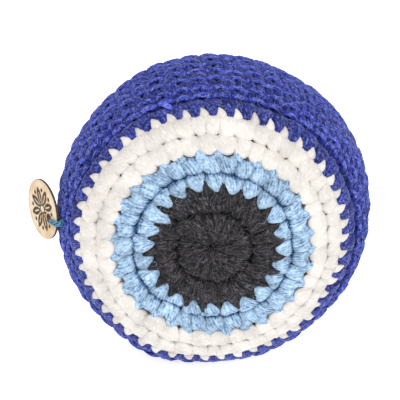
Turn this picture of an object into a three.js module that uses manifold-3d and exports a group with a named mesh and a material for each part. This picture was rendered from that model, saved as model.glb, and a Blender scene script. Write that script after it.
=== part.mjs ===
// A crocheted ball with an evil-eye face and a small wooden swing tag on its left side.
// Millimetres, +Z up. The eye looks along -Y. The origin is the middle of the flat patch that the
// stuffed ball rests on, and the ball's own axis runs along Y at the height REST_HEIGHT.

import * as THREE from 'three';
import { mergeVertices } from 'three/addons/utils/BufferGeometryUtils.js';
import Module from 'manifold-3d';

const wasm = await Module();
wasm.setup();

// ---- driving dimensions ----------------------------------------------------------------------

// The ball is a flattened round: two half ovals of revolution that meet at its widest circle.
const BALL_RADIUS = 30.0;
const FRONT = { depth: 18.75, radiusPower: 3.2, depthPower: 3.0 };
const BACK = { depth: 23.7, radiusPower: 2.9, depthPower: 2.0 };
const REST_HEIGHT = 28.75;      // from the resting surface up to the ball's axis
const SHELL_THICKNESS = 2.6;    // one layer of single crochet
const BEAD_RISE = 0.15;         // each round stands proud of its edges
const GAP = 0.3;                // left between touching pieces

// Crochet rounds from the front of the eye to the closing at the back.
const START_HOLE = 0.6;         // radius of the hole that the first round is worked around
const CLOSING_RADIUS = 1.5;
const FRONT_ROUNDS = [
  { name: 'pupil_round', heights: [3.2, 3.3, 4.63], yarn: 'black' },
  { name: 'iris_round', heights: [3.56, 3.56], yarn: 'lightBlue' },
  { name: 'white_round', heights: [3.47, 3.47], yarn: 'white' },
  { name: 'border_round', heights: [3.85], yarn: 'royalBlue' },
];
const BACK_ROUNDS = { name: 'blue_round', count: 17, yarn: 'royalBlue' };

// The wooden tag: a round slice with a hole near its rim. Its place is that of the hole's centre,
// counted from the middle of the ball, and its face is turned from -X towards the eye.
const TAG = {
  radius: 5.9,
  thickness: 0.5,
  edge: 0.1,                    // rounding of the rim
  holeRadius: 0.9,
  holeOffset: 2.9,              // from the tag's centre to the hole's centre
  hole: [-31.055, -6.8, 0.85],
  yaw: 30.0,
  lean: 0.6,
  turn: -18.1,                  // from the level line in the tag's face to the hole
};

// The cord comes out of the ball behind the hole, goes through the tag, over its face and past its
// rim, and back into the ball. The route is in the plane of the cord: distance from the hole along
// the tag's face, and height over the middle of the tag.
const CORD = {
  radius: 0.35,
  sides: 8,
  steps: 26,
  angle: 3.0,                   // of the strand over the face, above the level line
  route: [
    [0.2, -1.2],
    [0.2, -0.6],
    [0.25, 0.05],
    [0.5, 0.68],
    [1.2, 0.92],
    [2.2, 0.93],
    [3.1, 0.82],
    [3.65, 0.47],
    [3.85, 0.05],
    [3.9, -0.3],
  ],
};

const YARN_ROUGHNESS = 0.95;
const COLOURS = {
  black: 0x232226,
  lightBlue: 0x7db0dc,
  white: 0xf3eee4,
  royalBlue: 0x2a2f8f,
  pellets: 0xcfd0cc,
  wood: 0xe3c79c,
  cord: 0x4d97c2,
};

// ---- the ball's outline ----------------------------------------------------------------------

const OUTLINE_STEPS = 1500;

function ovalPoint(half, side, angle) {
  const radius = BALL_RADIUS * Math.sin(angle) ** (2 / half.radiusPower);
  const depth = half.depth * Math.cos(angle) ** (2 / half.depthPower);
  return new THREE.Vector2(radius, side * depth);
}

// The outline runs from the front pole over the widest circle to the back pole, and each point
// holds its distance along the surface.
function makeOutline() {
  const points = [];
  for (let i = 0; i <= OUTLINE_STEPS; i++) {
    points.push(ovalPoint(FRONT, -1, (Math.PI / 2) * (i / OUTLINE_STEPS)));
  }
  for (let i = OUTLINE_STEPS - 1; i >= 0; i--) {
    points.push(ovalPoint(BACK, 1, (Math.PI / 2) * (i / OUTLINE_STEPS)));
  }
  let length = 0;
  return points.map((point, i) => {
    length += i ? point.distanceTo(points[i - 1]) : 0;
    return { point, length };
  });
}

const outline = makeOutline();
const OUTLINE_LENGTH = outline[outline.length - 1].length;

function outlinePlace(distance) {
  const next = Math.max(1, outline.findIndex((entry) => entry.length >= distance));
  const low = outline[next - 1];
  const high = outline[next];
  return low.point.clone().lerp(high.point, (distance - low.length) / (high.length - low.length));
}

// A point a given height over the outline, at a given distance along it.
function overOutline(distance, height) {
  const reach = 0.2;
  const before = outlinePlace(Math.max(distance - reach, 0.001));
  const after = outlinePlace(Math.min(distance + reach, OUTLINE_LENGTH - 0.001));
  const along = after.sub(before).normalize();
  const outward = new THREE.Vector2(along.y, -along.x);
  return outlinePlace(distance).addScaledVector(outward, height);
}

// ---- solids ----------------------------------------------------------------------------------

function toManifold(geometry) {
  const bare = geometry.clone();
  bare.deleteAttribute('normal');
  bare.deleteAttribute('uv');
  const merged = mergeVertices(bare, 1e-4);
  const vertProperties = new Float32Array(merged.attributes.position.array);
  const triVerts = new Uint32Array(merged.index.array);
  return new wasm.Manifold(new wasm.Mesh({ numProp: 3, vertProperties, triVerts }));
}

function toGeometry(solid) {
  const { vertProperties, triVerts } = solid.getMesh();
  const geometry = new THREE.BufferGeometry();
  geometry.setAttribute('position', new THREE.BufferAttribute(vertProperties, 3));
  geometry.setIndex(new THREE.BufferAttribute(triVerts, 1));
  geometry.computeVertexNormals();
  return geometry;
}

// The weight of the filling presses the underside flat against whatever the ball rests on.
function flattenUnderside(geometry) {
  const width = BALL_RADIUS * 4;
  const below = new THREE.BoxGeometry(width, width, width);
  below.translate(0, 0, -REST_HEIGHT - width / 2);
  return toGeometry(toManifold(geometry).subtract(toManifold(below)));
}

function turnedSegments(radius) {
  if (radius < 9) return 20;
  return radius < 18 ? 28 : 36;
}

// One crochet round is a crowned ring with a gap to each neighbour.
function roundGeometry(start, end) {
  const middle = (start + end) / 2;
  const section = [
    overOutline(start, 0),
    overOutline(middle, BEAD_RISE),
    overOutline(end, 0),
    overOutline(end, -SHELL_THICKNESS),
    overOutline(start, -SHELL_THICKNESS),
    overOutline(start, 0),
  ];
  const widest = Math.max(...section.map((point) => point.x));
  const ring = new THREE.LatheGeometry(section, turnedSegments(widest));
  return widest > REST_HEIGHT ? flattenUnderside(ring) : ring;
}

// The last round is drawn together over the back pole.
function closingGeometry() {
  const edge = OUTLINE_LENGTH - CLOSING_RADIUS;
  const outside = overOutline(edge, 0);
  const inside = outside.y - SHELL_THICKNESS;
  const section = [
    new THREE.Vector2(0, inside),
    new THREE.Vector2(outside.x, inside),
    outside,
    new THREE.Vector2(outside.x / 2, outside.y + BEAD_RISE),
    new THREE.Vector2(0, outside.y + BEAD_RISE),
  ];
  return new THREE.LatheGeometry(section, 16);
}

// The pellets fill everything inside the crochet.
function fillingGeometry() {
  const steps = 16;
  const depth = SHELL_THICKNESS + GAP;
  const section = [];
  for (let i = 0; i <= steps; i++) {
    section.push(overOutline(OUTLINE_LENGTH * (i / steps), -depth));
  }
  section[0].x = 0;
  section[steps].x = 0;
  return new THREE.LatheGeometry(section, 36);
}

function tagGeometry() {
  const outlineRadius = TAG.radius - TAG.edge;
  const shape = new THREE.Shape();
  shape.absarc(0, 0, outlineRadius, 0, Math.PI * 2);
  const depth = TAG.thickness - 2 * TAG.edge;
  const slice = new THREE.ExtrudeGeometry(shape, {
    depth,
    curveSegments: 20,
    bevelThickness: TAG.edge,
    bevelSize: TAG.edge,
    bevelSegments: 2,
  });
  slice.translate(0, 0, -depth / 2);
  const drill = new THREE.CylinderGeometry(TAG.holeRadius, TAG.holeRadius, TAG.thickness * 3, 20);
  drill.rotateX(Math.PI / 2);
  drill.translate(TAG.holeOffset, 0, 0);
  return toGeometry(toManifold(slice).subtract(toManifold(drill)));
}

function cordGeometry() {
  const section = new THREE.Shape();
  section.absarc(0, 0, CORD.radius, 0, Math.PI * 2);
  const points = CORD.route.map(([along, over]) => new THREE.Vector3(along, 0, over));
  return new THREE.ExtrudeGeometry(section, {
    steps: CORD.steps,
    curveSegments: CORD.sides / 2,
    extrudePath: new THREE.CatmullRomCurve3(points),
  });
}

// ---- assembly --------------------------------------------------------------------------------

function named(name, geometry, colour, roughness = YARN_ROUGHNESS) {
  const material = new THREE.MeshStandardMaterial({ color: colour, roughness, metalness: 0 });
  const mesh = new THREE.Mesh(geometry, material);
  mesh.name = name;
  return mesh;
}

function addRounds(ball) {
  let place = START_HOLE;
  let number = 1;
  const addRound = ({ name, yarn }, height) => {
    const start = place + (number > 1 ? GAP / 2 : 0);
    const geometry = roundGeometry(start, place + height - GAP / 2);
    ball.add(named(`${name}_${number}`, geometry, COLOURS[yarn]));
    place += height;
    number += 1;
  };
  for (const group of FRONT_ROUNDS) {
    for (const height of group.heights) {
      addRound(group, height);
    }
  }
  const left = OUTLINE_LENGTH - CLOSING_RADIUS - GAP / 2 - place;
  for (let i = 0; i < BACK_ROUNDS.count; i++) {
    addRound(BACK_ROUNDS, left / BACK_ROUNDS.count);
  }
}

function makeBall() {
  const ball = new THREE.Group();
  ball.position.z = REST_HEIGHT;
  addRounds(ball);
  ball.add(named('closing_stitch', closingGeometry(), COLOURS.royalBlue));
  ball.add(named('pellet_filling', fillingGeometry(), COLOURS.pellets, 0.6));
  return ball;
}

// The tag and its cord share a frame at the hole: x is level along the tag's face towards the eye,
// and z points out of its face.
function makeTag() {
  const yaw = THREE.MathUtils.degToRad(TAG.yaw);
  const lean = THREE.MathUtils.degToRad(TAG.lean);
  const level = Math.cos(lean);
  const out = new THREE.Vector3(-Math.cos(yaw) * level, -Math.sin(yaw) * level, Math.sin(lean));
  const along = new THREE.Vector3(Math.sin(yaw), -Math.cos(yaw), 0);
  const up = new THREE.Vector3().crossVectors(out, along);
  const hanger = new THREE.Group();
  hanger.quaternion.setFromRotationMatrix(new THREE.Matrix4().makeBasis(along, up, out));
  hanger.position.set(TAG.hole[0], TAG.hole[1], TAG.hole[2] + REST_HEIGHT);

  const turn = THREE.MathUtils.degToRad(TAG.turn);
  const slice = tagGeometry().translate(-TAG.holeOffset, 0, 0);
  const tag = named('wooden_tag', slice, COLOURS.wood, 0.6);
  tag.rotation.z = turn;
  const cord = named('tag_cord', cordGeometry(), COLOURS.cord);
  cord.rotation.z = THREE.MathUtils.degToRad(CORD.angle);
  hanger.add(tag, cord);
  return hanger;
}

const ornament = new THREE.Group();
ornament.name = 'crochet_eye_ball';
ornament.add(makeBall(), makeTag());

export default ornament;
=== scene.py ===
"""The crocheted evil-eye ball with its wooden swing tag, stitch by stitch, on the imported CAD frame.

Shapes are worked out in millimetres in the row frame and turned into metres when a mesh is made.
"""

import math

import bpy
import numpy as np
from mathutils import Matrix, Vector


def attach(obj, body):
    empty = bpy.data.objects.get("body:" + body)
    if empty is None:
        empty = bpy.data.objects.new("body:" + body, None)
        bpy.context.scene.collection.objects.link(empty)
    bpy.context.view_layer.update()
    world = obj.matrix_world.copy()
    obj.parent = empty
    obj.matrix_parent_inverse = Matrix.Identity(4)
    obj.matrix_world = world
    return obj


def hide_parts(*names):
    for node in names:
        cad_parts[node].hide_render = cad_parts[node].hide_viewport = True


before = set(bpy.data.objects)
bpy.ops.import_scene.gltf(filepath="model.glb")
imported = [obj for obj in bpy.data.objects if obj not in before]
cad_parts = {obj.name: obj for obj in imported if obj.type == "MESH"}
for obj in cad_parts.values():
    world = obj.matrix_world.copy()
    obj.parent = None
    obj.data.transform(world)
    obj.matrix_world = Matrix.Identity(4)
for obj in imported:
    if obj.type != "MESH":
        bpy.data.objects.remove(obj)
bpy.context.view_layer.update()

MM = 0.001
TURN = 2 * np.pi
SEEDS = {"rounds": 400, "closing": 77, "pellets": 31, "cord": 9}

# ---- driving dimensions, in millimetres, the same as the CAD model's ----

BALL_RADIUS = 30.0
FRONT = dict(depth=18.75, radius_power=3.2, depth_power=3.0)
BACK = dict(depth=23.7, radius_power=2.9, depth_power=2.0)
REST_HEIGHT = 28.75
START_HOLE = 0.6
CLOSING_RADIUS = 1.5
SHELL_THICKNESS = 2.6
GAP = 0.3  # left between touching pieces
FRONT_HEIGHTS = [3.2, 3.3, 4.63] + [3.56] * 2 + [3.47] * 2 + [3.85]
BACK_ROUND_COUNT = 17

# Stitches in each round: eight in the starting ring, fifty round the widest part, six at the end.
STITCHES = [8, 16, 24, 24, 32, 40] + [50] * 11 + [48, 42, 36, 30, 24, 18, 12, 6]

# The wooden tag. Its place is that of its hole's centre, counted from the middle of the ball.
TAG = dict(
    radius=5.9, thickness=0.5, edge=0.1, hole_radius=0.9, hole_offset=2.9,
    hole=(-31.055, -6.8, 0.85), yaw=30.0, lean=0.6, turn=-18.1,
)

# The cord as it is seen, drawn close over the tag. Its route is in its own plane: distance from the
# hole along the tag's face, and height over the middle of the tag.
CORD_RADIUS = 0.38
CORD_ANGLE = 7.0  # of the strand over the face, above the level line
CORD_BELOW = 0.25  # how far below the middle of the hole it comes through
CORD_PLIES = 3
CORD_PLY_RADIUS = 0.55  # as a share of the cord's
CORD_TWIST = 3.4  # length of one turn of the plies
CORD_SPREAD = 1.2  # how much further apart the plies lie past the rim than in the hole
CORD_FLAT = (0.8, 3.0)  # how far from the hole they start to part and have parted
CORD_SAMPLES = 46
CORD_ROUTE = [
    (0.35, -1.9), (0.40, -0.9), (0.50, -0.20), (0.82, 0.36), (1.35, 0.60), (2.20, 0.62),
    (2.95, 0.60), (3.40, 0.36), (3.55, -0.05), (3.35, -0.50), (2.90, -0.95), (2.20, -1.60),
]

# ---- the camera, at the photograph's viewing angle ----

VIEW_ELEVATION = 24.0
VIEW_DISTANCE = 0.70  # in metres, like the width
VIEW_WIDTH = 0.0770  # what the picture takes in at the middle of the ball
VIEW_AIM = (-2.47, 1.50)  # where the lens looks, right of and above the middle of the ball, in mm
SENSOR_WIDTH = 36.0


def show(name, data):
    """A new object in the scene."""
    item = bpy.data.objects.new(name, data)
    bpy.context.scene.collection.objects.link(item)
    return item


def aim(item, direction):
    item.rotation_mode = "QUATERNION"
    item.rotation_quaternion = direction.to_track_quat("-Z", "Y")


def make_camera():
    elevation = math.radians(VIEW_ELEVATION)
    back = Vector((0, -math.cos(elevation), math.sin(elevation)))
    right = Vector((1, 0, 0))
    up = right.cross(-back)
    target = Vector((0, 0, REST_HEIGHT * MM)) + (right * VIEW_AIM[0] + up * VIEW_AIM[1]) * MM
    data = bpy.data.cameras.new("camera")
    data.sensor_width = SENSOR_WIDTH
    data.lens = SENSOR_WIDTH * VIEW_DISTANCE / VIEW_WIDTH
    camera = show("camera", data)
    camera.location = target + back * VIEW_DISTANCE
    aim(camera, -back)
    bpy.context.scene.camera = camera


make_camera()

# ---- the ball's outline ----

HALF_STEPS = 4001  # points worked out for each half
OUTLINE_STEPS = 2201  # points kept, evenly spaced
SOFTENING = 31  # how many of them the outward direction is averaged over


def half_outline(half, side):
    angle = np.linspace(0.0, np.pi / 2, HALF_STEPS)
    radius = BALL_RADIUS * np.sin(angle) ** (2 / half["radius_power"])
    depth = half["depth"] * np.abs(np.cos(angle)) ** (2 / half["depth_power"])
    return radius, side * depth


def make_outline():
    """Even steps from the front pole to the back: distance, radius, depth and outward direction."""
    halves = zip(half_outline(FRONT, -1), half_outline(BACK, 1))
    r, y = (np.concatenate([front, back[-2::-1]]) for front, back in halves)
    length = np.concatenate([[0.0], np.cumsum(np.hypot(np.diff(r), np.diff(y)))])
    s = np.linspace(0.0, length[-1], OUTLINE_STEPS)
    r = np.interp(s, length, r)
    y = np.interp(s, length, y)
    weights = np.hanning(SOFTENING)
    weights /= weights.sum()
    along_r, along_y = (
        np.convolve(np.pad(np.gradient(values), SOFTENING // 2, mode="edge"), weights, mode="valid")
        for values in (r, y)
    )
    size = np.hypot(along_r, along_y)
    return s, r, y, along_y / size, -along_r / size


OUT_S, OUT_R, OUT_Y, OUT_NR, OUT_NY = make_outline()
OUTLINE_LENGTH = OUT_S[-1]


def radius_at(s):
    return np.interp(s, OUT_S, OUT_R)


SETTLE_HEIGHT = 1.2  # under it the ball presses softly flat against whatever it rests on


def settle(z):
    soft = SETTLE_HEIGHT
    return np.where(z < soft, soft * np.exp(np.minimum(z / soft - 1, 0)), z)


# Hand work leaves ripples all over: height, waves round the ball, turn for each mm, and phase.
RIPPLES = [(0.06, 3, 0.12, 0.7), (0.06, 5, -0.17, 2.1), (0.05, 8, 0.31, 0.0)]
RIPPLE_START = 6.0  # how far from the front pole they reach their full height

# And swells round the side: angle, reach in degrees and height.
SWELLS = [(30, 30, 0.45), (145, 22, -0.50), (245, 14, 0.85), (315, 28, -0.70)]
SWELL_START = (14, 26)  # how far from the front pole they begin and reach their full height
SWELL_END = (50, 70)  # and where they fade

POLE = 0.02  # points keep this far from the poles


def angle_from(theta, degrees):
    """How far angles lie past a given one, within half a turn either way."""
    return np.mod(theta - math.radians(degrees) + np.pi, TURN) - np.pi


def unevenness(theta, s):
    ripple = 0.0
    for height, waves, turn, phase in RIPPLES:
        ripple = ripple + height * np.sin(waves * theta + turn * s + phase)
    start, full = SWELL_START
    fade, end = SWELL_END
    side = np.clip((s - start) / (full - start), 0, 1) * np.clip((end - s) / (end - fade), 0, 1)
    swell = np.zeros(np.shape(theta))
    for angle, reach, height in SWELLS:
        swell = swell + height * np.exp(-((angle_from(theta, angle) / math.radians(reach)) ** 2))
    return ripple * np.clip(s / RIPPLE_START, 0, 1) + swell * side


def place(theta, s, n):
    """Points at an angle round the axis, a distance from the front pole, and a height."""
    s = np.clip(s, POLE, OUTLINE_LENGTH - POLE)
    height = n + unevenness(theta, s)
    radius = radius_at(s) + height * np.interp(s, OUT_S, OUT_NR)
    y = np.interp(s, OUT_S, OUT_Y) + height * np.interp(s, OUT_S, OUT_NY)
    return np.stack([radius * np.cos(theta), y, radius * np.sin(theta) + REST_HEIGHT], -1)


def outward(theta, s):
    """The direction square to the outline at such a point."""
    nr = np.interp(s, OUT_S, OUT_NR)
    ny = np.interp(s, OUT_S, OUT_NY)
    return np.stack([nr * np.cos(theta), ny, nr * np.sin(theta)], -1)


# ---- the rounds of single crochet ----


def make_edges():
    """Where each round ends, from the starting hole to the closing."""
    front = START_HOLE + np.concatenate([[0.0], np.cumsum(FRONT_HEIGHTS)])
    left = OUTLINE_LENGTH - CLOSING_RADIUS - GAP / 2 - front[-1]
    back = front[-1] + left * np.arange(1, BACK_ROUND_COUNT + 1) / BACK_ROUND_COUNT
    return np.concatenate([front, back])


EDGES = make_edges()

# The rounds run in a spiral, so each change of colour leaves a step in the edges near it. By the
# round that ends there: the step's angle, the drop after it and the rise before it in mm, and the
# degrees that it takes to even out.
JOGS = {
    2: (147, 1.3, 1.9, 24),
    3: (147, 1.5, 0.0, 26),
    4: (228, 0.9, 0.8, 33),
    5: (228, 0.96, 0.79, 35),
    6: (228, 0.5, 0.4, 40),
    7: (323, 0.96, 0.79, 35),
    8: (323, 0.4, 0.3, 35),
}

# How far each colour's edge strays from a true circle: all round, towards +X and towards +Z.
DRIFT = {2: (0.0, 0.0, -0.30), 3: (0.10, 0.10, -0.10), 5: (-0.27, 0.0, -0.22), 7: (0.34, -0.50, 0.22)}
DRIFT_SHARE = {0: 1.0, 1: 0.5}  # how much of it an edge itself takes, and its neighbours

# Furrows deeper than the rest: the round before one, its depth and its reach in mm. The last is
# where the flat face turns into the side.
CREASES = [(0, 0.5, 0.9), (1, 0.05, 0.7), (2, 0.80, 0.80), (4, 0.60, 0.75), (8, 0.60, 1.35)]
FURROW_WAVE = 0.3  # how far a furrow winds between the stitches, in mm
FURROW_WANDER = 0.9  # how far it wanders in long waves, as a share of that
FURROW_PHASE = 0.08


def edge(number, theta):
    """Distance from the front pole at which a round ends, at an angle."""
    total = np.full(np.shape(theta), EDGES[number])
    if number in JOGS:
        angle, drop, rise, reach = JOGS[number]
        after = np.mod(theta - math.radians(angle), TURN)
        reach = math.radians(reach)
        total = total + rise * np.exp((after - TURN) / reach) - drop * np.exp(-after / reach)
    for middle, (mean, right, up) in DRIFT.items():
        share = DRIFT_SHARE.get(abs(number - middle), 0.0)
        total = total + share * (mean + right * np.cos(theta) + up * np.sin(theta))
    return total


def crease(theta, s):
    """How far the furrows lower a point. They wind, and their depth varies round the ball."""
    fall = 0.0
    for number, depth, reach in CREASES:
        wave = np.cos(STITCHES[number - 1] * (theta - FURROW_PHASE))
        wave = FURROW_WAVE * (wave + FURROW_WANDER * np.sin(5 * theta + number))
        uneven = 1 + 0.3 * np.sin(9 * theta + 2 * number) + 0.25 * np.sin(17 * theta + number)
        fall = fall - uneven * depth * np.exp(-(((s - edge(number, theta) - wave) / reach) ** 2))
    return fall


SUNK_STEP = 0.7  # the depth in mm that counts as 1


def sunk(over, start=-0.25):
    """How deep in the fabric a point lies, which the yarn material paints as shade: 0 on top, 1 well between
    the stitches, 2 down a hole.
    """
    return np.clip((start - over) / SUNK_STEP, 0, 2)


# ---- where the stitches stand ----

FIRST_PHASE = 0.35  # angle of the starting ring's first stitch
LEAN = 0.10  # how far a stitch's top leans past its foot, in stitches
DOUBLE_SPREAD = 0.26  # how far two stitches in one foot stand from its middle, in stitches
TOOTH_LEAN = 0.22  # how far a tooth's tip leans, in stitches


def plan_feet(previous, count, phase):
    """Angles of the feet of a round's stitches, which stand in the tops of the round before."""
    i = np.arange(count)
    if count >= previous:
        stand = np.floor(i * previous / count).astype(int)
        same = (stand[1:] == stand[:-1]).astype(float)
        shift = DOUBLE_SPREAD * (np.insert(same, 0, 0) - np.append(same, 0))
        return (stand + 0.5 + shift) * TURN / previous + phase
    first = np.floor(i * previous / count)
    last = np.floor((i + 1) * previous / count) - 1
    return ((first + last) / 2 + 0.5) * TURN / previous + phase


def plan_rounds():
    """For each round, the angles of its stitches' feet and tops."""
    plan = []
    phase = FIRST_PHASE
    for number, count in enumerate(STITCHES):
        even = (np.arange(count) + 0.5) * TURN / count
        if number == 0:
            feet = even + phase
        else:
            feet = plan_feet(STITCHES[number - 1], count, phase)
            phase = np.mean(feet - even) + LEAN * TURN / count
        plan.append((feet, even + phase))
    return plan


# ---- the shapes of the stitches ----

# On the face each stitch shows as one puffy petal that fans out from its foot. Up in rounds, height
# of its crown in mm beside a furrow and beside a close join, half width in half stitches where the
# foot stands out over another colour and where it stands in its own, share of full thickness, and
# depth in mm of the cleft between its two legs.
PETAL = [
    (-0.10, -1.60, -1.10, 0.12, 0.62, 0.5, 0.00),
    (0.00, -0.95, -0.40, 0.30, 0.80, 0.7, 0.00),
    (0.10, -0.30, -0.12, 0.56, 0.92, 0.9, 0.00),
    (0.26, 0.02, 0.04, 0.86, 1.00, 1.0, 0.00),
    (0.48, 0.14, 0.12, 1.02, 1.04, 1.0, 0.04),
    (0.70, 0.06, 0.08, 1.06, 1.07, 1.0, 0.10),
    (0.86, -0.22, -0.04, 1.04, 1.05, 0.9, 0.14),
    (0.95, -0.80, -0.20, 0.92, 0.94, 0.8, 0.12),
    (1.02, -1.60, -0.70, 0.72, 0.74, 0.7, 0.05),
]
PETAL_SAMPLES = 14
PETAL_PLIES = 18

# What the photograph shows of single rounds: how close the join at the round's end is; how blunt the
# feet over another colour are, and how far they reach over it, in rounds; how much fuller the
# corners are, or below 0 how much rounder; how many times deeper the clefts and wider the stitches
# are; and how far the round's tone is shifted, below 0 darker.
CLOSE_JOINS = {1: 0.8, 6: 1.0}
BLUNT_FEET = {4: -0.3, 6: 0.45, 8: 0.10}
FEET_OUT = {4: 0.03, 6: -0.12, 8: 0.10}
FULL_CORNERS = {4: 0.02, 5: 0.12, 6: -0.34, 7: -0.27, 8: 0.20}
CLEFTS = {4: 1.8, 5: 2.4, 8: 0.3}
WIDER_ROUNDS = {4: 1.05, 5: 1.12, 8: 1.15}
TONE_SHIFTS = {8: -2.2}

# Single stitches, by round: one reaches further over the colour before it (its angle, and how far in
# mm), and one stands apart (its angle, its share of full width, and its drop in mm).
LONG_FOOT = {4: (148, 1.3)}
LOOSE_STITCH = {5: (230, 0.78, 0.6)}

# Round the side the two legs part, with a bar of yarn lying along the top of every stitch.
# Across in stitches, up in rounds, height of the crown in mm, half width in stitches.
LEG = [
    (0.05, -0.08, -1.50, 0.13),
    (0.10, 0.02, -0.90, 0.18),
    (0.17, 0.15, -0.44, 0.235),
    (0.23, 0.36, -0.26, 0.255),
    (0.25, 0.58, -0.24, 0.255),
    (0.27, 0.74, -0.36, 0.24),
    (0.28, 0.85, -0.55, 0.21),
    (0.29, 0.92, -1.20, 0.19),
]
LEG_SAMPLES = 11
LEG_PLIES = 10
BAR = [
    (-0.56, -0.20, -0.72, 0.30),
    (-0.42, -0.10, -0.20, 0.42),
    (-0.16, 0.02, 0.00, 0.52),
    (0.14, 0.04, 0.02, 0.52),
    (0.40, -0.07, -0.16, 0.44),
    (0.56, -0.18, -0.72, 0.32),
]
BAR_SAMPLES = 10
BAR_PLIES = 7
BAR_HALF = 0.40  # half of its thickness
BAR_CREASE = 0.8  # how much of a furrow the bars follow
FIRST_OPEN_ROUND = 9  # the first round of the side
LOWER_BARS_BACK = 2.0  # it shows a second row of loops, this far from its end

# Where the royal blue yarn was joined, its end lies smooth along the first side round: its angle,
# how far over the round's start it is, its length, half its width and how far it climbs, in mm.
YARN_END = (109, -0.1, 2.6, 0.62, 2.4)

# Each yarn: the share of the relief that its stitches keep, the depth of the grooves between its
# plies, its stitches' width against their room, the range of their tints, how lumpy its plies are,
# and its loose fibres on a square mm.
YARN_LIES = {
    "black_yarn": dict(relief=0.9, grooves=0.14, width=1.10, tints=(0.2, 0.8), lumps=0.07, fibres=0.7),
    "light_blue_yarn": dict(relief=1.0, grooves=0.13, width=0.99, tints=(0.2, 0.8), lumps=0.03, fibres=0.05),
    "white_yarn": dict(relief=0.9, grooves=0.07, width=1.42, tints=(0.35, 0.65), lumps=0.03, fibres=0.06),
    "royal_blue_yarn": dict(relief=0.8, grooves=0.14, width=1.04, tints=(0.1, 0.9), lumps=0.05, fibres=0.12),
}

# Where the colour changes, a tooth shows between the feet of the next round: up from the round's end
# as a share of its reach, height of its crown in mm, and half width in half stitches.
TOOTH = [
    (-0.45, -1.30, 0.50),
    (-0.20, -0.40, 0.64),
    (0.05, -0.08, 0.62),
    (0.35, 0.00, 0.45),
    (0.65, -0.08, 0.27),
    (0.90, -0.30, 0.11),
    (1.05, -0.95, 0.04),
]
TOOTH_SAMPLES = 10
TOOTH_PLIES = 10
TOOTH_REACH = {3: (2.0, 0.0), 5: (1.7, -0.05), 7: (1.65, 0.15)}  # reach and lift in mm, by round

STRAND_HALF = 0.75  # half of the thickness of a full strand

# How much hand work varies: the spread of a seeded draw, in mm along the surface (foot, top, along),
# mm of height (rise), stitches (aside) or shares (width, size, tilt).
PETAL_SPREAD = dict(foot=0.14, top=0.10, aside=0.05, rise=0.08, width=0.045)
LEG_SPREAD = dict(foot=0.10, top=0.07, aside=0.03, tilt=0.04, rise=0.08, width=0.05)
BAR_SPREAD = dict(aside=0.04, along=0.07, tilt=0.06, rise=0.06, width=0.10)
TOOTH_SPREAD = dict(size=0.10, aside=0.03, rise=0.05, width=0.05)
CLEFT_SPREAD = (0.2, 1.6)
GROOVE_SPREAD = (0.4, 1.6)


def smooth(points, samples):
    """Rows of values sampled evenly along a smooth line through a list of points."""
    count = len(points)
    where = np.linspace(0, count - 1, samples)
    first = np.clip(where.astype(int), 0, count - 2)
    f = (where - first)[:, None]
    eye = np.eye(count)
    ends = np.vstack([2 * eye[0] - eye[1], eye, 2 * eye[-1] - eye[-2]])
    a, b, c, d = (ends[first + k] for k in range(4))
    square, cube = 2 * a - 5 * b + 4 * c - d, 3 * b - a - 3 * c + d
    weights = 0.5 * (2 * b + (c - a) * f + square * f**2 + cube * f**3)
    return weights @ np.array(points)


def smooth_step(v):
    v = np.clip(v, 0, 1)
    return v * v * (3 - 2 * v)


def unit(vectors):
    return vectors / np.maximum(np.linalg.norm(vectors, axis=-1, keepdims=True), 1e-9)


def tube_faces(tubes, rings, sides):
    """Sides and end caps of tubes, for points in (tubes, rings, sides)."""
    index = np.arange(tubes * rings * sides).reshape(tubes, rings, sides)
    after = np.roll(index, -1, axis=2)
    quads = np.stack([index[:, :-1], index[:, 1:], after[:, 1:], after[:, :-1]], -1)
    return [quads.reshape(-1, 4), np.concatenate([index[:, 0], index[:, -1, ::-1]])]


def ring_faces(turns, sides):
    """Faces of a closed section carried once round, for points in (turns, sides)."""
    index = np.arange(turns * sides).reshape(turns, sides)
    right = np.roll(index, -1, axis=0)
    quads = np.stack([index, np.roll(index, -1, axis=1), np.roll(right, -1, axis=1), right], -1)
    return [quads.reshape(-1, 4)]


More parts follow.
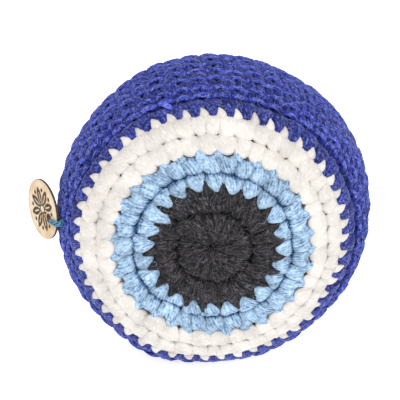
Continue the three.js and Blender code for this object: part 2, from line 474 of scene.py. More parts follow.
def sweep(
    line, crown, width, thickness, rng, plies=PETAL_PLIES, depth=0.09, pitch=34.0, hidden=None,
    cleft=None, lumps=0.0, tint=(0.0, 1.0)
):
    """Twisted strands along lines of points in (strands, samples, 3).

    Width and thickness are halves, depth is that of the grooves as a share, pitch is the length of
    one twist, and cleft is how deep the crown is split.
    """
    strands, samples = line.shape[:2]
    sides = 2 * plies
    along = unit(np.gradient(line, axis=1))
    across = unit(np.cross(along, crown))
    crown = np.cross(across, along)
    step = np.linalg.norm(np.diff(line, axis=1), axis=-1)
    length = np.concatenate([np.zeros((strands, 1)), np.cumsum(step, axis=1)], axis=1)
    turn = length * TURN / pitch + rng.uniform(0, TURN, (strands, 1))
    around = np.arange(sides) * TURN / sides
    angle = turn[..., None] + around
    groove = np.tile(np.arange(sides) % 2, (strands, samples, 1)).astype(float)
    reach = 1 - depth * groove * rng.uniform(*GROOVE_SPREAD, (strands, 1, sides))
    reach = reach + lumps * rng.normal(0, 1, reach.shape[:1] + (samples, sides))
    points = (
        line[:, :, None]
        + (np.cos(angle) * reach * width[..., None])[..., None] * across[:, :, None]
        + (np.sin(angle) * reach * thickness[..., None])[..., None] * crown[:, :, None]
    )
    if cleft is not None:
        near_top = np.exp(-((np.cos(angle) / 0.2) ** 2)) * np.clip(np.sin(angle), 0, 1)
        points = points - (cleft[..., None] * near_top)[..., None] * crown[:, :, None]
    start = rng.uniform(0, 400, (strands, 1, 1))
    yarn = np.broadcast_arrays(np.cos(around), np.sin(around), length[..., None] + start)
    tint = rng.uniform(*tint, (strands, 1, 1))
    if hidden is None:
        hidden = np.zeros((strands, samples))
    tone = np.broadcast_arrays(groove, tint, hidden[..., None])
    return {
        "points": points.reshape(-1, 3),
        "faces": tube_faces(strands, samples, sides),
        "yarn": np.stack(yarn, -1).reshape(-1, 3),
        "tone": np.stack(tone, -1).reshape(-1, 3),
    }


def lay(theta, s, over, width, thickness, rng, slot=None, **options):
    """Strands on the ball with their crowns at given heights, as lumpy and grooved as their yarn."""
    if slot:
        options.update(depth=YARN_LIES[slot]["grooves"], lumps=YARN_LIES[slot]["lumps"])
    line = place(theta, s, over - thickness)
    return sweep(line, outward(theta, s), width, thickness, rng, **options)


def nearest(angles, degrees):
    return np.argmin(np.abs(angle_from(angles, degrees)))


def petals(number, feet, tops, slot, rng):
    """The stitches of one round of the face, numbered from 1."""
    count = len(feet)
    lie = YARN_LIES[slot]
    v, n, close, out_share, own_share, thick, cleft = smooth(PETAL, PETAL_SAMPLES).T
    blunt = BLUNT_FEET.get(number, 1.0)
    share = out_share + (own_share - out_share) * blunt
    fill = FULL_CORNERS.get(number, 0.0)
    share = share + fill * (np.clip((v - 0.80) / 0.2, 0, 1) + blunt * np.clip(1 - v / 0.25, 0, 1))
    if number in BLUNT_FEET:
        v = v - FEET_OUT[number] * np.clip(1 - v / 0.5, 0, 1)
    join = np.where(v < 0.5, CLOSE_JOINS.get(number - 1, 0.0), CLOSE_JOINS.get(number, 0.0))
    n = n + (close - n) * join
    n = n * np.where(n > -1, lie["relief"], 1)
    foot_s = edge(number - 1, feet) + rng.normal(0, PETAL_SPREAD["foot"], count)
    top_s = edge(number, tops) + rng.normal(0, PETAL_SPREAD["top"], count)
    feet = feet + rng.normal(0, PETAL_SPREAD["aside"], count) * TURN / count
    rise = rng.normal(0, PETAL_SPREAD["rise"], count)
    full = rng.normal(1.0, PETAL_SPREAD["width"], count) * lie["width"] * WIDER_ROUNDS.get(number, 1.0)
    if number in LONG_FOOT:
        angle, more = LONG_FOOT[number]
        foot_s[nearest(feet, angle)] -= more
    if number in LOOSE_STITCH:
        angle, less, drop = LOOSE_STITCH[number]
        loose = nearest((feet + tops) / 2, angle)
        full[loose] *= less
        foot_s[loose] -= drop
        top_s[loose] -= drop

    climb = smooth_step(v)
    before, after = np.roll(feet, 1), np.roll(feet, -1)
    before[0] -= TURN
    after[-1] += TURN
    room = (after - before)[:, None] / 4  # neighbours share it out, so that no slit opens
    feet = (before + 2 * feet + after) / 4
    theta = feet[:, None] + (tops - feet)[:, None] * climb
    s = foot_s[:, None] + (top_s - foot_s)[:, None] * v
    over = n + rise[:, None] * np.clip(n + 1, 0, 1) + crease(theta, s)
    half_stitch = (room + (np.pi / count - room) * climb) * radius_at(s)
    width = share * half_stitch * full[:, None]
    thickness = np.minimum(STRAND_HALF * thick, 0.12 + 0.8 * width)
    hidden = sunk(over)
    # less painted shade on the feet that stand out over another colour
    if number in BLUNT_FEET:
        hidden = hidden * np.where(v < 0.3, 0.35, 1.0)
    cleft = np.broadcast_to(cleft * CLEFTS.get(number, 1.0), s.shape)
    cleft = cleft * rng.uniform(*CLEFT_SPREAD, (count, 1))
    tint = np.array(lie["tints"]) + TONE_SHIFTS.get(number, 0.0)
    return lay(theta, s, over, width, thickness, rng, slot, hidden=hidden, cleft=cleft, tint=tint)


def legs(number, feet, tops, slot, rng):
    """The stitches of one round of the side and back: two legs each, spreading from the foot."""
    count = len(feet)
    u, v, n, share = smooth(LEG, LEG_SAMPLES).T
    n = n * np.where(n > -1, YARN_LIES[slot]["relief"], 1)
    foot_s = edge(number - 1, feet) + rng.normal(0, LEG_SPREAD["foot"], count)
    top_s = edge(number, tops) + rng.normal(0, LEG_SPREAD["top"], count)
    feet = feet + rng.normal(0, LEG_SPREAD["aside"], count) * TURN / count
    centre = feet[:, None] + (tops - feet)[:, None] * smooth_step(v)
    sides = np.array([-1.0, 1.0])[None, :, None]
    theta = centre[:, None] + sides * u * TURN / count
    tilt = 1 + 0.05 * sides + rng.normal(0, LEG_SPREAD["tilt"], (count, 2, 1))
    s = foot_s[:, None, None] + (top_s - foot_s)[:, None, None] * v * tilt
    rise = rng.normal(0, LEG_SPREAD["rise"], (count, 2, 1)) * np.clip(n + 1, 0, 1)
    shape = (count * 2, LEG_SAMPLES)
    theta, s = theta.reshape(shape), s.reshape(shape)
    over = (n + rise).reshape(shape) + crease(theta, s)
    stitch = TURN * radius_at(s) / count
    width = share * stitch * rng.normal(1.0, LEG_SPREAD["width"], (count * 2, 1))
    thickness = np.minimum(STRAND_HALF, 0.15 + 0.8 * width)
    # painted shade: the legs, lying under the bars, are drawn darker all over, with more shade depth and a
    # lower tone
    return lay(
        theta, s, over, width, thickness, rng, slot, plies=LEG_PLIES, pitch=16.0,
        hidden=sunk(over, -0.15) + 0.20, tint=(-1.0, 0.0))


def bars(number, tops, slot, rng, back=0.0):
    """The loops that lie along the round over its stitches, or a distance back from its end."""
    count = len(tops)
    u, v, n, half = smooth(BAR, BAR_SAMPLES).T
    between = tops + np.pi / count
    theta = between[:, None] + (u + rng.normal(0, BAR_SPREAD["aside"], (count, 1))) * TURN / count
    base = edge(number, between) - back + rng.normal(0, BAR_SPREAD["along"], count)
    tilt = rng.normal(0.05, BAR_SPREAD["tilt"], (count, 1)) * u
    s = base[:, None] + (v + tilt) * (base - edge(number - 1, between))[:, None]
    over = n + rng.normal(0, BAR_SPREAD["rise"], (count, 1)) + BAR_CREASE * crease(theta, s)
    width = np.broadcast_to(half, s.shape) * rng.normal(1.0, BAR_SPREAD["width"], (count, 1))
    thickness = np.full(s.shape, BAR_HALF)
    # painted highlight: the bars on top are drawn lighter than the legs
    return lay(
        theta, s, over, width, thickness, rng, slot, plies=BAR_PLIES, pitch=9.0,
        hidden=sunk(over, -0.3), tint=(0.5, 1.4))


def yarn_end(rng):
    """A short end of yarn caught under the stitches at both its ends."""
    angle, above, length, half, climb = YARN_END
    u = np.linspace(-0.5, 0.5, 9)
    theta = math.radians(angle) + u[None, :] * length / BALL_RADIUS
    s = edge(FIRST_OPEN_ROUND - 1, theta) + above + climb * u
    over = 0.42 - 1.3 * np.abs(2 * u[None, :]) ** 2.5
    width = half * np.sqrt(np.clip(1.1 - (2 * u[None, :]) ** 2, 0.1, 1))
    thickness = np.full(s.shape, BAR_HALF)
    return lay(
        theta, s, over, width, thickness, rng, plies=8, depth=0.05, pitch=20.0, tint=(2.0, 2.1))


def teeth(number, tops, slot, rng):
    """The teeth at the end of a round of another colour than the next, one between two stitches."""
    count = len(tops)
    up, n, share = smooth(TOOTH, TOOTH_SAMPLES).T
    reach, lift = TOOTH_REACH[number]
    between = tops + np.pi / count
    size = rng.normal(1.0, TOOTH_SPREAD["size"], count)
    base = edge(number, between)
    s = base[:, None] + reach * size[:, None] * up
    lean = TOOTH_LEAN * TURN / count * np.clip(up, 0, 1) ** 1.3
    aside = rng.normal(0, TOOTH_SPREAD["aside"], (count, 1)) * TURN / count
    theta = between[:, None] + lean + aside
    over = n + lift + rng.normal(0, TOOTH_SPREAD["rise"], (count, 1)) + crease(theta, s)
    half_stitch = np.pi * radius_at(s) / count
    varied = rng.normal(1.0, TOOTH_SPREAD["width"], (count, 1))
    width = np.maximum(share * half_stitch * varied, 0.06)
    thickness = np.minimum(0.5, 0.06 + 0.8 * width)
    return lay(
        theta, s, over, width, thickness, rng, slot, plies=TOOTH_PLIES, hidden=sunk(over, -0.4))


BACKING_TURNS = 120
BACKING_OVERLAP = 0.3  # how far it reaches under its neighbours, in mm
BACKING_TOP = -1.2  # its height along its edges
BACKING_CROWN = -1.1  # and along its middle
# painted shade: the band's tone puts it deep in shade, near black
BACKING_SHADE_TONE = [0.6, 0.5, 1.7]


def backing(number):
    """The dense inner side of a round: a closed band behind its stitches, painted in deep shade."""
    theta = np.arange(BACKING_TURNS) * TURN / BACKING_TURNS
    low = edge(number - 1, theta) - BACKING_OVERLAP
    high = edge(number, theta) + BACKING_OVERLAP
    middle = (low + high) / 2
    inside = -SHELL_THICKNESS + 0.1
    outside = [(low, BACKING_TOP), (middle, BACKING_CROWN), (high, BACKING_TOP)]
    ring = outside + [(high, inside), (low, inside)]
    points = np.stack([place(theta, s, n + crease(theta, s)) for s, n in ring], 1).reshape(-1, 3)
    return {
        "points": points,
        "faces": ring_faces(BACKING_TURNS, len(ring)),
        "yarn": points,
        "tone": np.tile(BACKING_SHADE_TONE, (len(points), 1)),
    }


LOOSE_FIBRE = -1.0  # stands in the tone's painted shade depth and marks a fibre for the material
FIBRE_SAMPLES = 8
FIBRE_RADIUS = 0.018
FIBRE_LENGTHS = (2.0, 5.5)
FIBRE_LIFTS = (0.05, 0.28)  # how high their middle lies over the stitches
FIBRE_FOOT = -0.35  # how high their ends do


def fibres(count, low, high, rng):
    """Loose cotton fibres that have worked out of the yarn and lie curled over the stitches."""
    samples = FIBRE_SAMPLES
    theta0 = rng.uniform(0, TURN, count)
    s0 = np.sqrt(rng.uniform(max(low, 0.4) ** 2, high**2, count))
    length = rng.uniform(*FIBRE_LENGTHS, count)
    heading = rng.uniform(0, TURN, count)
    bend = rng.normal(0, 1.0, count)
    t = np.linspace(0, 1, samples)
    direction = heading[:, None] + bend[:, None] * t * 2.2 + 0.5 * np.sin(t * 7 + heading[:, None])
    step = length[:, None] / (samples - 1)
    ahead = np.cumsum(np.cos(direction) * step, axis=1)
    aside = np.cumsum(np.sin(direction) * step, axis=1)
    s = np.clip(s0[:, None] + ahead, 0.3, OUTLINE_LENGTH - 0.3)
    theta = theta0[:, None] + aside / np.maximum(radius_at(s0), 1.0)[:, None]
    top = rng.uniform(*FIBRE_LIFTS, (count, 1))
    arch = np.sin(np.pi * np.clip(t, 0.02, 0.98)) ** 0.6
    over = FIBRE_FOOT + (top - FIBRE_FOOT) * arch + crease(theta, s) * 0.8
    size = np.full((count, samples), FIBRE_RADIUS) * (1 - 0.5 * np.abs(2 * t - 1))
    made = sweep(
        place(theta, s, over), outward(theta, s), size, size, rng, plies=2, depth=0.0, pitch=1000.0)
    made["tone"][:, 0] = 0.0
    made["tone"][:, 2] = LOOSE_FIBRE
    return made


# ---- meshes and materials ----


def make_piece(name, parts, material, body, stands_for=()):
    """One mesh object from parts that hold points in mm, faces and vector attributes."""
    offset = 0
    corners, starts, begin = [], [], 0
    for part in parts:
        for faces in part["faces"]:
            count, sides = faces.shape
            corners.append((faces + offset).ravel())
            starts.append(begin + np.arange(count) * sides)
            begin += count * sides
        offset += len(part["points"])
    corners = np.concatenate(corners).astype(np.int32)
    starts = np.concatenate(starts).astype(np.int32)
    points = np.concatenate([part["points"] for part in parts])
    points[:, 2] = settle(points[:, 2])
    points = points * MM
    mesh = bpy.data.meshes.new(name)
    mesh.vertices.add(len(points))
    mesh.vertices.foreach_set("co", points.astype(np.float32).ravel())
    mesh.loops.add(len(corners))
    mesh.loops.foreach_set("vertex_index", corners)
    mesh.polygons.add(len(starts))
    mesh.polygons.foreach_set("loop_start", starts)
    mesh.polygons.foreach_set("use_smooth", np.ones(len(starts), bool))
    for key in sorted(set(parts[0]) - {"points", "faces"}):
        values = np.concatenate([part[key] for part in parts]).astype(np.float32)
        mesh.attributes.new(key, "FLOAT_VECTOR", "POINT").data.foreach_set("vector", values.ravel())
    mesh.update(calc_edges=True)
    mesh.validate()
    mesh.materials.append(material)
    piece = show(name, mesh)
    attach(piece, body)
    if stands_for:
        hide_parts(*stands_for)
    return piece


def linear(colour):
    """A colour given as three sRGB values from 0 to 255, in linear light."""
    part = np.array(colour) / 255
    part = np.where(part <= 0.04045, part / 12.92, ((part + 0.055) / 1.055) ** 2.4)
    return (*part.tolist(), 1.0)


class Nodes:
    """A material's node tree, with short calls for the nodes used here."""

    def __init__(self, name):
        self.material = bpy.data.materials.new(name)
        self.material.use_nodes = True
        self.tree = self.material.node_tree
        self.tree.nodes.clear()
        self.shader = self.tree.nodes.new("ShaderNodeBsdfPrincipled")
        output = self.tree.nodes.new("ShaderNodeOutputMaterial")
        self.tree.links.new(self.shader.outputs[0], output.inputs["Surface"])

    def fill(self, node, inputs):
        """Set or link a node's inputs, by name or number."""
        for key, value in inputs.items():
            target = node.inputs[key]
            if isinstance(value, bpy.types.NodeSocket):
                self.tree.links.new(value, target)
            else:
                target.default_value = linear(value) if target.type == "RGBA" else value

    def make(self, kind, inputs, output=0, **settings):
        """One output of a new node."""
        node = self.tree.nodes.new("ShaderNode" + kind)
        for key, value in settings.items():
            setattr(node, key, value)
        self.fill(node, inputs)
        return node.outputs[output]

    def attribute(self, name):
        return self.make("Attribute", {}, "Vector", attribute_name=name)

    def position(self):
        return self.make("TexCoord", {}, "Object")

    def split(self, vector):
        return [self.make("SeparateXYZ", {0: vector}, axis) for axis in range(3)]

    def math(self, operation, a, b=0.0, clamp=False):
        return self.make("Math", {0: a, 1: b}, operation=operation, use_clamp=clamp)

    def noise(self, vector, scale, detail=2.0, roughness=0.5):
        """Noise with one scale or with three, one along each axis."""
        if isinstance(scale, tuple):
            vector = self.make("VectorMath", {0: vector, 1: scale}, operation="MULTIPLY")
            scale = 1.0
        inputs = {"Vector": vector, "Scale": scale, "Detail": detail, "Roughness": roughness}
        return self.make("TexNoise", inputs, "Fac")

    def span(self, value, low, high, to_low=0.0, to_high=1.0):
        limits = {"From Min": low, "From Max": high, "To Min": to_low, "To Max": to_high}
        return self.make("MapRange", {"Value": value, **limits})

    def mix(self, share, a, b):
        return self.make("Mix", {"Factor": share, 6: a, 7: b}, 2, data_type="RGBA")

    def bump(self, height, distance, strength):
        return self.make("Bump", {"Height": height, "Distance": distance, "Strength": strength})


def yarn_material(
    name, colour, dark_fibre_and_shade, hole_shade, fuzz, sheen, sheen_tint, roughness=0.86, plies=0.45, streaks=0.55,
    speckling=0.3, fibre_highlight=0.6
):
    """Cotton yarn: fine fibres wound along each ply, with painted shade between plies and deep in the
    fabric, and painted highlights on pale fibres.
    """
    nodes = Nodes(name)
    yarn = nodes.attribute("yarn")
    groove, tint, hidden = nodes.split(nodes.attribute("tone"))
    where = nodes.position()

    streak = nodes.noise(yarn, (3.2, 3.2, 0.6), 3.0, 0.6)
    fine = nodes.noise(yarn, (7.0, 7.0, 1.8), 2.0, 0.6)
    fade = nodes.noise(yarn, (1.6, 1.6, 0.9), 1.0)
    speckle = nodes.noise(where, 1900.0, 2.0, 0.6)
    patch = nodes.noise(where, 260.0, 2.0, 0.5)

    # painted shade in the grooves between plies; the streaks and specks below are darker fibres, in the same
    # dark colour
    dark = nodes.math("MULTIPLY", groove, nodes.span(fade, 0.38, 0.60, 0.0, plies))
    dark = nodes.math("ADD", dark, nodes.span(streak, 0.43, 0.64, 0.0, streaks))
    dark = nodes.math("ADD", dark, nodes.span(speckle, 0.42, 0.68, 0.0, speckling))
    # painted shade: the deeper a point lies in the fabric, the darker it is drawn
    dark = nodes.math("ADD", dark, nodes.span(hidden, 0.0, 1.0, 0.0, 0.9), clamp=True)
    body = nodes.mix(dark, colour, dark_fibre_and_shade)
    # painted highlight: where the yarn is not darkened, pale fibres light up in the fuzz colour, which is
    # also the loose fibres' colour
    lit = nodes.math("SUBTRACT", 1.0, dark)
    light = nodes.math("MULTIPLY", nodes.span(fine, 0.52, 0.66, 0.0, fibre_highlight), lit)
    body = nodes.mix(light, body, fuzz)
    # each strand's brightness: a random tone, with painted shade on the legs and painted highlight on the
    # bars; the yarn end is drawn lighter still
    lift = nodes.span(tint, -2.0, 4.0, 0.50, 1.70)
    lift = nodes.math("MULTIPLY", lift, nodes.span(patch, 0.3, 0.7, 0.88, 1.12))
    body = nodes.make("HueSaturation", {"Value": lift, "Color": body})
    # painted shade: deep holes between the stitches go near black
    paint = nodes.mix(nodes.span(hidden, 0.9, 1.7), body, hole_shade)
    loose = nodes.math("LESS_THAN", hidden, LOOSE_FIBRE / 2)
    height = nodes.math("ADD", nodes.math("MULTIPLY", streak, 0.6), nodes.math("MULTIPLY", fine, 0.4))
    nodes.fill(nodes.shader, {
        "Base Color": nodes.mix(loose, paint, fuzz),
        "Roughness": nodes.span(streak, 0.3, 0.7, roughness - 0.08, roughness + 0.08),
        "Specular IOR Level": 0.3,
        "Sheen Weight": sheen,
        "Sheen Roughness": 0.45,
        "Sheen Tint": sheen_tint,
        "Normal": nodes.bump(height, 0.00025, 0.9),
    })
    return nodes.material


# Per yarn: its colour, a dark colour for darker fibres and painted shade, a near-black painted shade for
# deep holes, a pale colour for loose fibres and painted highlights, and its sheen.
YARNS = {
    "black_yarn": yarn_material(
        "black_cotton", colour=(44, 41, 47), dark_fibre_and_shade=(5, 5, 7), hole_shade=(2, 2, 3),
        fuzz=(114, 110, 116), sheen=0.12, sheen_tint=(150, 145, 150),
        plies=0.6, streaks=0.9, speckling=0.5, fibre_highlight=0.8),
    "light_blue_yarn": yarn_material(
        "light_blue_cotton", colour=(163, 190, 212), dark_fibre_and_shade=(36, 74, 118), hole_shade=(30, 58, 98),
        fuzz=(190, 214, 234), sheen=0.1, sheen_tint=(210, 228, 250),
        plies=0.5, streaks=0.32, speckling=0.4),
    "white_yarn": yarn_material(
        "white_cotton", colour=(195, 191, 187), dark_fibre_and_shade=(188, 181, 172), hole_shade=(112, 96, 80),
        fuzz=(220, 216, 212), sheen=0.05, sheen_tint=(255, 252, 248),
        plies=0.4, streaks=0.35, speckling=0.2),
    "royal_blue_yarn": yarn_material(
        "royal_blue_cotton", colour=(73, 87, 188), dark_fibre_and_shade=(11, 24, 110), hole_shade=(10, 16, 74),
        fuzz=(172, 183, 240), sheen=0.4, sheen_tint=(152, 162, 235),
        streaks=0.4, speckling=1.05, fibre_highlight=0.75),
}

# The rounds from the front: the CAD model's name for them, how many they are, and their yarn.
GROUPS = [
    ("pupil_round", 3, "black_yarn"),
    ("iris_round", 2, "light_blue_yarn"),
    ("white_round", 2, "white_yarn"),
    ("border_round", 1, "royal_blue_yarn"),
    ("blue_round", BACK_ROUND_COUNT, "royal_blue_yarn"),
]
FUZZY_ROUNDS = {9: 1.5}  # rounds with more loose fibres than the rest, and how many times as many


def make_rounds():
    rounds = [(group, slot) for group, count, slot in GROUPS for _ in range(count)]
    for number, ((feet, tops), (group, slot)) in enumerate(zip(plan_rounds(), rounds), 1):
        rng = np.random.default_rng(SEEDS["rounds"] + number)
        low, high = EDGES[number - 1], EDGES[number]
        area = TURN * radius_at((low + high) / 2) * (high - low)
        fuzz = YARN_LIES[slot]["fibres"] * FUZZY_ROUNDS.get(number, 1.0)
        parts = [backing(number), fibres(int(area * fuzz), low, high, rng)]
        if number < FIRST_OPEN_ROUND:
            parts.append(petals(number, feet, tops, slot, rng))
        else:
            parts += [legs(number, feet, tops, slot, rng), bars(number, tops, slot, rng)]
        if number == FIRST_OPEN_ROUND:
            parts += [bars(number, feet, slot, rng, LOWER_BARS_BACK), yarn_end(rng)]
        if number in TOOTH_REACH:
            parts.append(teeth(number, tops, slot, rng))
        node = f"{group}_{number}"
        make_piece(f"crochet_{node}", parts, YARNS[slot], "ball", [node])


make_rounds()

# ---- closing and filling ----

# Gathers run in to the back pole over a plug: distance from the pole and height in mm.
GATHERS = 6
GATHER_ROUTE = [(2.4, -1.2), (1.9, -0.35), (1.2, 0.0), (0.55, -0.35), (0.2, -1.2)]
GATHER_START = 0.3  # angle of the first
GATHER_TWIST = 0.35  # how far they turn on their way in, in radians
PLUG_RINGS = [(0.05, -1.0), (1.8, -1.0), (2.2, -1.4), (2.2, -2.4), (0.05, -2.4)]
PLUG_TURNS = 40
# painted shade: the plug's tone draws it dark, as deep in the fabric
PLUG_SHADE_TONE = [0.6, 0.5, 1.0]


def make_closing():
    """The last round is drawn together over the back pole, and the tail is drawn inside."""
    rng = np.random.default_rng(SEEDS["closing"])
    start = np.arange(GATHERS) * TURN / GATHERS + GATHER_START
    away, over = smooth(GATHER_ROUTE, 11).T
    theta = start[:, None] + GATHER_TWIST * (1 - away / GATHER_ROUTE[0][0])[None, :]
    s = np.broadcast_to(OUTLINE_LENGTH - away, theta.shape)
    over = np.broadcast_to(over, theta.shape)
    width = np.broadcast_to(np.clip(0.42 * away + 0.12, 0.2, 0.62), theta.shape)
    gathers = lay(theta, s, over, width, np.full(theta.shape, 0.5), rng)

    turns, count = PLUG_TURNS, len(PLUG_RINGS)
    angle = np.arange(turns) * TURN / turns
    rings = [place(angle, np.full(turns, OUTLINE_LENGTH - away), n) for away, n in PLUG_RINGS]
    points = np.stack(rings, 1).reshape(-1, 3)
    index = np.arange(turns * count).reshape(turns, count)
    right = np.roll(index, -1, axis=0)
    quads = np.stack([index[:, :-1], right[:, :-1], right[:, 1:], index[:, 1:]], -1)
    plug = {
        "points": points,
        "faces": [quads.reshape(-1, 4), index[:, 0][None, ::-1], index[:, -1][None]],
        "yarn": points,
        "tone": np.tile(PLUG_SHADE_TONE, (len(points), 1)),
    }
    slot = "royal_blue_yarn"
    make_piece("gathered_closing_stitch", [gathers, plug], YARNS[slot], "ball", ["closing_stitch"])


make_closing()


def pellet_material():
    nodes = Nodes("plastic_pellets")
    where = nodes.position()
    cloud = nodes.noise(where, 400.0, 3.0)
    nodes.fill(nodes.shader, {
        "Base Color": nodes.mix(nodes.span(cloud, 0.3, 0.7), (196, 197, 192), (222, 222, 218)),
        "Roughness": nodes.span(cloud, 0.3, 0.7, 0.35, 0.55),
        "Normal": nodes.bump(nodes.noise(where, 1500.0, 2.0), 0.0001, 0.4),
    })
    return nodes.material


FILLING_ROWS, FILLING_TURNS = 110, 220
FILLING_TOP = -2.95  # height that no pellet passes, just under the crochet
PELLETS = 900  # that touch the crochet, spread evenly by the golden angle
GOLDEN_ANGLE = 2.39996
PELLET_RADIUS = 1.7
PELLET_DEPTH = -4.0  # height of their middles
PELLET_SINK = 0.9  # how far the filling between them lies back


def make_filling():
    """Pellets pressed against the inside of the crochet: a closed body with a bump for each."""
    rows, turns = FILLING_ROWS, FILLING_TURNS
    s = np.linspace(POLE, OUTLINE_LENGTH - POLE, rows)
    theta = np.arange(turns) * TURN / turns
    grid_s, grid_theta = np.meshgrid(s, theta, indexing="ij")
    base = place(grid_theta, grid_s, np.full(grid_s.shape, PELLET_DEPTH)).reshape(-1, 3)
    k = np.arange(PELLETS) + 0.5
    around = k * GOLDEN_ANGLE + np.random.default_rng(SEEDS["pellets"]).normal(0, 0.03, PELLETS)
    polar = np.arccos(1 - 2 * k / PELLETS)
    middles = place(around, polar / np.pi * OUTLINE_LENGTH, np.full(PELLETS, PELLET_DEPTH))
    closest = np.full(len(base), 9.0)
    for chunk in np.array_split(middles, 30):
        away = np.linalg.norm(base[:, None] - chunk[None], axis=-1).min(axis=1)
        closest = np.minimum(closest, away)
    bump = np.sqrt(np.clip(PELLET_RADIUS**2 - closest**2, 0.0, None)) - PELLET_SINK
    height = np.minimum(PELLET_DEPTH + bump.reshape(grid_s.shape), FILLING_TOP)
    points = place(grid_theta, grid_s, height).reshape(-1, 3)
    part = {"points": points, "faces": tube_faces(1, rows, turns)}
    filling = make_piece(
        "pressed_pellets", [part], pellet_material(), "ball", ["pellet_filling"])


make_filling()

# ---- the wooden tag and its cord ----

# The burnt rosette, in mm before it is scaled: eight leaves with veins, a ring and eight dots.
ROSETTE_SCALE = 1.38
LEAF_START, LEAF_LENGTH, LEAF_HALF = 0.75, 2.35, 0.46
LEAF_ENDS = (0.7, 3.15)
VEIN_ENDS = (1.1, 2.4)
VEIN_HALF = 0.17
RING_RADIUS = 0.62
DOT_PLACE, DOT_RADIUS = 2.75, 0.16
LINE_HALF, LINE_SOFT = 0.10, 0.07

TAG_SIDES = 320
FACE_ROWS, BACK_ROWS = 110, 14
HOLE_SLANT = np.array([0.3, 0.3])  # the point that the hole narrows towards at the back
BURN_DEPTH = 0.05


def tag_frame():
    """The hole's centre and the tag's directions: along its face, up its face and out of it."""
    yaw, lean = math.radians(TAG["yaw"]), math.radians(TAG["lean"])
    level = math.cos(lean)
    out = np.array([-math.cos(yaw) * level, -math.sin(yaw) * level, math.sin(lean)])
    along = np.array([math.sin(yaw), -math.cos(yaw), 0.0])
    up = np.cross(out, along)
    hole = np.array(TAG["hole"]) + np.array([0, 0, REST_HEIGHT])
    return hole, along, up, out


def turned(along, up, angle):
    angle = math.radians(angle)
    return (
        along * math.cos(angle) + up * math.sin(angle),
        up * math.cos(angle) - along * math.sin(angle),
    )


def rosette(x, y):
    """How strongly a point of the tag's face is burnt by the rosette, from 0 to 1."""
    radius = np.hypot(x, y) / ROSETTE_SCALE
    angle = np.arctan2(y, x)
    sector = np.pi / 4
    local = np.mod(angle + sector / 2, sector) - sector / 2
    px, py = radius * np.cos(local), radius * np.sin(local)
    reach = np.clip((px - LEAF_START) / LEAF_LENGTH, 0, 1)
    leaf = np.maximum(np.abs(py) - LEAF_HALF * np.sin(np.pi * reach) ** 0.8, 0)
    leaf = np.where((px > LEAF_ENDS[0]) & (px < LEAF_ENDS[1]), leaf, 9.0)
    vein = np.where((px > VEIN_ENDS[0]) & (px < VEIN_ENDS[1]), VEIN_HALF - np.abs(py), 0.0)
    leaf = np.maximum(leaf, vein * 2)
    ring = np.abs(radius - RING_RADIUS)
    between = np.mod(angle, sector) - sector / 2
    dots = np.hypot(radius * np.cos(between) - DOT_PLACE, radius * np.sin(between)) - DOT_RADIUS
    near = np.minimum.reduce([leaf, ring, np.maximum(dots, 0)])
    return 1 - np.clip((near - LINE_HALF) / LINE_SOFT, 0, 1)


def wood_material():
    """A pale birch slice with fine grain, tan flecks, and a scorched rim, hole and pattern."""
    nodes = Nodes("birch_slice")
    face = nodes.attribute("face")
    burn, rim, wall = nodes.split(nodes.attribute("mark"))
    warp = nodes.noise(face, (0.25, 0.6, 1.0), 2.0)
    push = nodes.make("CombineXYZ", {1: nodes.math("MULTIPLY", warp, 1.4)})
    bent = nodes.make("VectorMath", {0: face, 1: push}, operation="ADD")
    grain = nodes.noise(bent, (0.3, 2.2, 0.6), 4.0, 0.6)
    fleck = nodes.noise(face, (2.4, 4.5, 3.0), 3.0, 0.7)
    cloud = nodes.noise(face, (0.35, 0.35, 0.35), 2.0)
    paint = nodes.mix(nodes.span(grain, 0.35, 0.65), (216, 199, 177), (202, 181, 153))
    paint = nodes.mix(nodes.span(cloud, 0.42, 0.62, 0.0, 0.7), paint, (188, 158, 118))
    paint = nodes.mix(nodes.span(fleck, 0.52, 0.68, 0.0, 0.55), paint, (168, 134, 96))
    paint = nodes.mix(nodes.span(rim, 0.1, 1.0, 0.0, 0.75), paint, (176, 162, 146))
    for mark, char in ((wall, (38, 27, 20)), (burn, (40, 31, 26))):
        share = nodes.math("MULTIPLY", mark, nodes.span(fleck, 0.3, 0.7, 1.0, 0.85), clamp=True)
        paint = nodes.mix(share, paint, char)
    height = nodes.math("ADD", grain, nodes.math("MULTIPLY", fleck, 0.5))
    nodes.fill(nodes.shader, {
        "Base Color": paint,
        "Roughness": nodes.span(grain, 0.3, 0.7, 0.6, 0.78),
        "Specular IOR Level": 0.1,
        "Normal": nodes.bump(height, 0.00006, 0.6),
    })
    return nodes.material


def tag_section():
    """Face, rim, back and the hole's wall: the share of the way from hole to rim, and height.

    Below 0 the share says how much the hole has narrowed.
    """
    half, soft = TAG["thickness"] / 2, TAG["edge"]
    face_end = 1 - soft / (TAG["radius"] - TAG["hole_radius"])
    edge_share = 1 - face_end
    quarter = np.linspace(0, np.pi / 2, 5)[1:]
    section = [(0.0, half - 0.06), (0.012, half)]
    section += [(t, half) for t in np.linspace(0.03, face_end, FACE_ROWS)]
    for q in quarter:
        section.append((face_end + edge_share * math.sin(q), half - soft * (1 - math.cos(q))))
    section += [(1.0, half - soft - (2 * half - 2 * soft) * f) for f in (0.33, 0.67)]
    for q in [0.0, *quarter]:
        section.append((face_end + edge_share * math.cos(q), -half + soft * (1 - math.sin(q))))
    section += [(t, -half) for t in np.linspace(face_end, 0.012, BACK_ROWS)[1:]]
    section += [(-0.60, -half + 0.04), (-0.30, 0.0)]
    return np.array(section).T


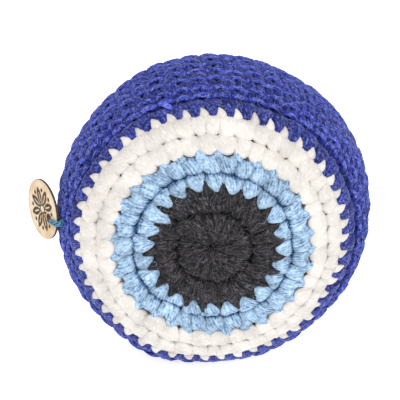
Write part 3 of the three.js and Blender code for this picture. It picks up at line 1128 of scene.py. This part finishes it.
def make_tag():
    """A section carried round between the hole's circle and the rim's circle."""
    hole, along, up, out = tag_frame()
    x_dir, y_dir = turned(along, up, TAG["turn"])
    angle = np.arange(TAG_SIDES) * TURN / TAG_SIDES
    half = TAG["thickness"] / 2
    share, height = tag_section()
    circle = np.stack([np.cos(angle), np.sin(angle)], -1)
    rim_circle = TAG["radius"] * circle - np.array([TAG["hole_offset"], 0.0])
    hole_circle = TAG["hole_radius"] * circle
    share = share[None, :, None]
    flat = hole_circle[:, None] + (rim_circle - hole_circle)[:, None] * np.maximum(share, 0)
    flat = flat + (hole_circle[:, None] - HOLE_SLANT) * np.minimum(share, 0)
    x, y = flat[..., 0], flat[..., 1]
    z = np.broadcast_to(height, x.shape)
    centre_x = x + TAG["hole_offset"]
    from_hole = np.hypot(x, y) - TAG["hole_radius"]
    burn = rosette(centre_x, y) * (z > half - 0.01) * np.clip((from_hole - 0.30) / 0.08, 0, 1)
    z = z - BURN_DEPTH * burn
    from_rim = TAG["radius"] - np.hypot(centre_x, y)
    rim = np.clip(1 - from_rim / 0.8, 0, 1)
    side_wall = (np.abs(z) < half - 0.02) & (from_rim < 0.3)
    wall = np.maximum(side_wall, np.clip(1.4 - from_hole / 0.16, 0, 1))
    points = hole + x[..., None] * x_dir + y[..., None] * y_dir + z[..., None] * out
    part = {
        "points": points.reshape(-1, 3),
        "faces": ring_faces(*x.shape),
        "face": np.stack([centre_x, y, z], -1).reshape(-1, 3),
        "mark": np.stack([burn, rim, wall], -1).reshape(-1, 3),
    }
    make_piece("birch_tag", [part], wood_material(), "tag", ["wooden_tag"])


make_tag()


def make_cord():
    """Three plies wound round each other, which part over the tag's face."""
    hole, along, up, out = tag_frame()
    direction, _ = turned(along, up, CORD_ANGLE)
    rng = np.random.default_rng(SEEDS["cord"])
    route = smooth(CORD_ROUTE, CORD_SAMPLES)
    centre = hole - CORD_BELOW * up + route[:, :1] * direction + route[:, 1:] * out
    tangent = unit(np.gradient(centre, axis=0))
    side = np.cross(direction, out)
    crown = unit(np.cross(side, tangent))
    across = np.cross(tangent, crown)
    length = np.concatenate([[0], np.cumsum(np.linalg.norm(np.diff(centre, axis=0), axis=-1))])
    begin, end = CORD_FLAT
    parting = CORD_SPREAD * np.clip((route[:, 0] - begin) / (end - begin), 0, 1)
    lines, crowns = [], []
    for strand in range(CORD_PLIES):
        angle = length * TURN / CORD_TWIST + strand * TURN / CORD_PLIES
        away = np.cos(angle)[:, None] * across + np.sin(angle)[:, None] * crown
        spread = (parting * np.cos(angle))[:, None] * across
        lines.append(centre + (away + spread) * CORD_RADIUS * 0.5)
        crowns.append(away)
    line, crown = np.stack(lines), np.stack(crowns)
    size = np.full(line.shape[:2], CORD_RADIUS * CORD_PLY_RADIUS)
    made = sweep(line, crown, size, size, rng, plies=5, depth=0.14, pitch=4.0)
    material = yarn_material(
        "cord_cotton", colour=(98, 160, 194), dark_fibre_and_shade=(44, 98, 142), hole_shade=(18, 54, 84),
        fuzz=(130, 186, 214), sheen=0.1, sheen_tint=(200, 230, 255), roughness=0.7)
    make_piece("twisted_tag_cord", [made], material, "tag_loop", ["tag_cord"])


make_cord()

# ---- floor, light and picture ----


FLOOR_HALF = 3.0
FLOOR_BELOW = 0.00005  # a hair under the ball, so that the two don't share a plane


def make_floor():
    nodes = Nodes("floor_paper")
    cloud = nodes.noise(nodes.position(), 30.0)
    nodes.fill(nodes.shader, {
        "Base Color": nodes.mix(nodes.span(cloud, 0.3, 0.7), (250, 250, 250), (253, 253, 253)),
        "Roughness": 0.9,
        "Emission Color": (255, 255, 255),
        "Emission Strength": 0.8,
    })
    mesh = bpy.data.meshes.new("floor")
    signs = [(-1, -1), (1, -1), (1, 1), (-1, 1)]
    mesh.from_pydata([(x * FLOOR_HALF, y * FLOOR_HALF, 0) for x, y in signs], [], [(0, 1, 2, 3)])
    mesh.materials.append(nodes.material)
    floor = show("floor", mesh)
    floor.location.z = -FLOOR_BELOW


def make_light(name, location, size, power):
    data = bpy.data.lights.new(name, "AREA")
    data.shape = "DISK"
    data.size = size
    data.energy = power
    light = show(name, data)
    light.location = location
    aim(light, Vector((0, 0, REST_HEIGHT * MM)) - light.location)


def make_world():
    """An even white sky, and colours as they are."""
    world = bpy.data.worlds.new("studio")
    world.use_nodes = True
    background = world.node_tree.nodes["Background"]
    background.inputs["Color"].default_value = (1, 1, 1, 1)
    background.inputs["Strength"].default_value = 0.55
    bpy.context.scene.world = world
    bpy.context.scene.view_settings.view_transform = "Standard"


make_floor()
make_light("key_light", Vector((-0.15, -0.55, 0.75)), 0.35, 5.7)
make_light("fill_light", Vector((0.6, -0.5, 0.45)), 0.6, 2.5)
make_world()
